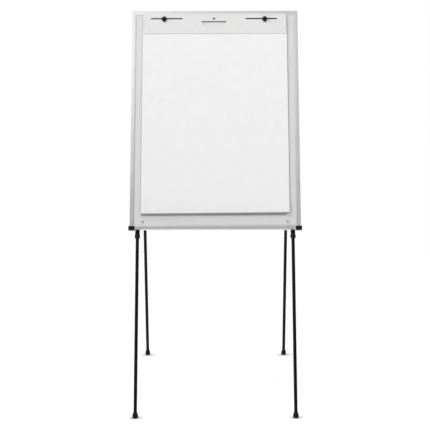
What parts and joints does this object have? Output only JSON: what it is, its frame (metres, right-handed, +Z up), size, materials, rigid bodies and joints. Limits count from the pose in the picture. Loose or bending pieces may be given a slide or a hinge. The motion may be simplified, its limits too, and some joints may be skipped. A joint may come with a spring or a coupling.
{
  "type": "flipchart easel",
  "caption": "Free-standing flipchart easel: white steel board in an aluminium frame with a paper pad, pad header with sliding pegs, and folding telescopic legs.",
  "frame": {"origin": "on the floor, below the middle of the footprint of the four feet", "axes": "+Z up, the board faces -Y, +X to the viewer's right"},
  "size_m": [0.7458, 1.2892, 1.6806],
  "materials": {
    "satin_aluminium": "satin anodised extrusion",
    "white_steel": "smooth white enamel",
    "core_board": "raw honeycomb board",
    "grey_sheet": "mill finish, lightly coated",
    "dark_aluminium": "black anodised",
    "zinc_steel": "zinc plated",
    "black_steel": "black oxide",
    "black_tube": "semi-gloss black powder coat",
    "black_plastic": "fine moulded texture",
    "knob_plastic": "satin moulded",
    "black_rubber": "matt moulded rubber",
    "white_nylon": "natural nylon",
    "pad_paper": "uncoated white paper",
    "grey_card": "grey chipboard"
  },
  "bodies": {
    "board": {"frame_rail_left": "satin_aluminium", "frame_rail_right": "satin_aluminium", "frame_rail_bottom": "satin_aluminium", "frame_rail_top": "satin_aluminium", "writing_surface": "white_steel", "board_core": "core_board", "back_sheet": "grey_sheet", "corner_keys": "zinc_steel", "header_plate": "white_steel", "header_screw": "black_steel", "header_nut": "zinc_steel", "peg_channel": "dark_aluminium", "channel_rivets": "zinc_steel", "pad_backing": "grey_card", "pad_paper": "pad_paper", "bracket_bolts": "zinc_steel", "bracket_nuts": "zinc_steel", "hinge_pins": "zinc_steel", "hinge_stop_pins": "zinc_steel", "leg_brackets_lower": "black_plastic", "leg_brackets_upper": "black_plastic", "collets_front": "white_nylon", "corner_cap_left": "black_plastic", "hinge_head_left": "black_plastic", "outer_tube_front_left": "black_tube", "corner_cap_right": "black_plastic", "hinge_head_right": "black_plastic", "outer_tube_front_right": "black_tube"},
    "rear_frame": {"cross_bar": "black_tube", "cross_bar_screws": "zinc_steel", "collets_rear": "white_nylon", "rear_knuckle_left": "black_plastic", "cross_bar_clamp_left": "black_plastic", "outer_tube_rear_left": "black_tube", "rear_knuckle_right": "black_plastic", "cross_bar_clamp_right": "black_plastic", "outer_tube_rear_right": "black_tube"},
    "peg_left": {"peg_stud_left": "zinc_steel", "peg_washer_left": "zinc_steel"},
    "knob_left": {"peg_knob_left": "knob_plastic"},
    "leg_front_left": {"inner_tube_front_left": "black_tube", "guide_plug_front_left": "white_nylon", "foot_front_left": "black_rubber"},
    "collar_front_left": {"twist_collar_front_left": "black_plastic"},
    "leg_rear_left": {"inner_tube_rear_left": "black_tube", "guide_plug_rear_left": "white_nylon", "foot_rear_left": "black_rubber"},
    "collar_rear_left": {"twist_collar_rear_left": "black_plastic"},
    "peg_right": {"peg_stud_right": "zinc_steel", "peg_washer_right": "zinc_steel"},
    "knob_right": {"peg_knob_right": "knob_plastic"},
    "leg_front_right": {"inner_tube_front_right": "black_tube", "guide_plug_front_right": "white_nylon", "foot_front_right": "black_rubber"},
    "collar_front_right": {"twist_collar_front_right": "black_plastic"},
    "leg_rear_right": {"inner_tube_rear_right": "black_tube", "guide_plug_rear_right": "white_nylon", "foot_rear_right": "black_rubber"},
    "collar_rear_right": {"twist_collar_rear_right": "black_plastic"}
  },
  "joints": [
    {"name": "rear_fold", "type": "hinge", "parent": "board", "child": "rear_frame", "pos_m": [0, 0.11941, 1.63653], "axis": [1, 0, 0], "range_deg": [-41.5, 0]},
    {"name": "leg_slide_front_left", "type": "slide", "parent": "board", "child": "leg_front_left", "axis": [0, 0.4067, 0.9135], "range_m": [-0.1, 0.74]},
    {"name": "collar_twist_front_left", "type": "hinge", "parent": "board", "child": "collar_front_left", "pos_m": [-0.3345, -0.31585, 0.72036], "axis": [0, 0.4067, 0.9135], "range_deg": [0, 90]},
    {"name": "leg_slide_front_right", "type": "slide", "parent": "board", "child": "leg_front_right", "axis": [0, 0.4067, 0.9135], "range_m": [-0.1, 0.74]},
    {"name": "collar_twist_front_right", "type": "hinge", "parent": "board", "child": "collar_front_right", "pos_m": [0.3345, -0.31585, 0.72036], "axis": [0, 0.4067, 0.9135], "range_deg": [0, 90]},
    {"name": "leg_slide_rear_left", "type": "slide", "parent": "rear_frame", "child": "leg_rear_left", "axis": [0, -0.3007, 0.9537], "range_m": [-0.1, 0.69]},
    {"name": "collar_twist_rear_left", "type": "hinge", "parent": "rear_frame", "child": "collar_rear_left", "pos_m": [-0.3345, 0.40809, 0.72096], "axis": [0, -0.3007, 0.9537], "range_deg": [0, 90]},
    {"name": "leg_slide_rear_right", "type": "slide", "parent": "rear_frame", "child": "leg_rear_right", "axis": [0, -0.3007, 0.9537], "range_m": [-0.1, 0.69]},
    {"name": "collar_twist_rear_right", "type": "hinge", "parent": "rear_frame", "child": "collar_rear_right", "pos_m": [0.3345, 0.40809, 0.72096], "axis": [0, -0.3007, 0.9537], "range_deg": [0, 90]},
    {"name": "peg_slide_left", "type": "slide", "parent": "board", "child": "peg_left", "axis": [1, 0, 0], "range_m": [-0.056, 0.078]},
    {"name": "knob_turn_left", "type": "hinge", "parent": "peg_left", "child": "knob_left", "pos_m": [-0.225, 0.05923, 1.6469], "axis": [0, -0.9135, 0.4067], "range_deg": [0, 90]},
    {"name": "peg_slide_right", "type": "slide", "parent": "board", "child": "peg_right", "axis": [1, 0, 0], "range_m": [-0.0825, 0.0515]},
    {"name": "knob_turn_right", "type": "hinge", "parent": "peg_right", "child": "knob_right", "pos_m": [0.2224, 0.05923, 1.6469], "axis": [0, -0.9135, 0.4067], "range_deg": [0, 90]}
  ]
}
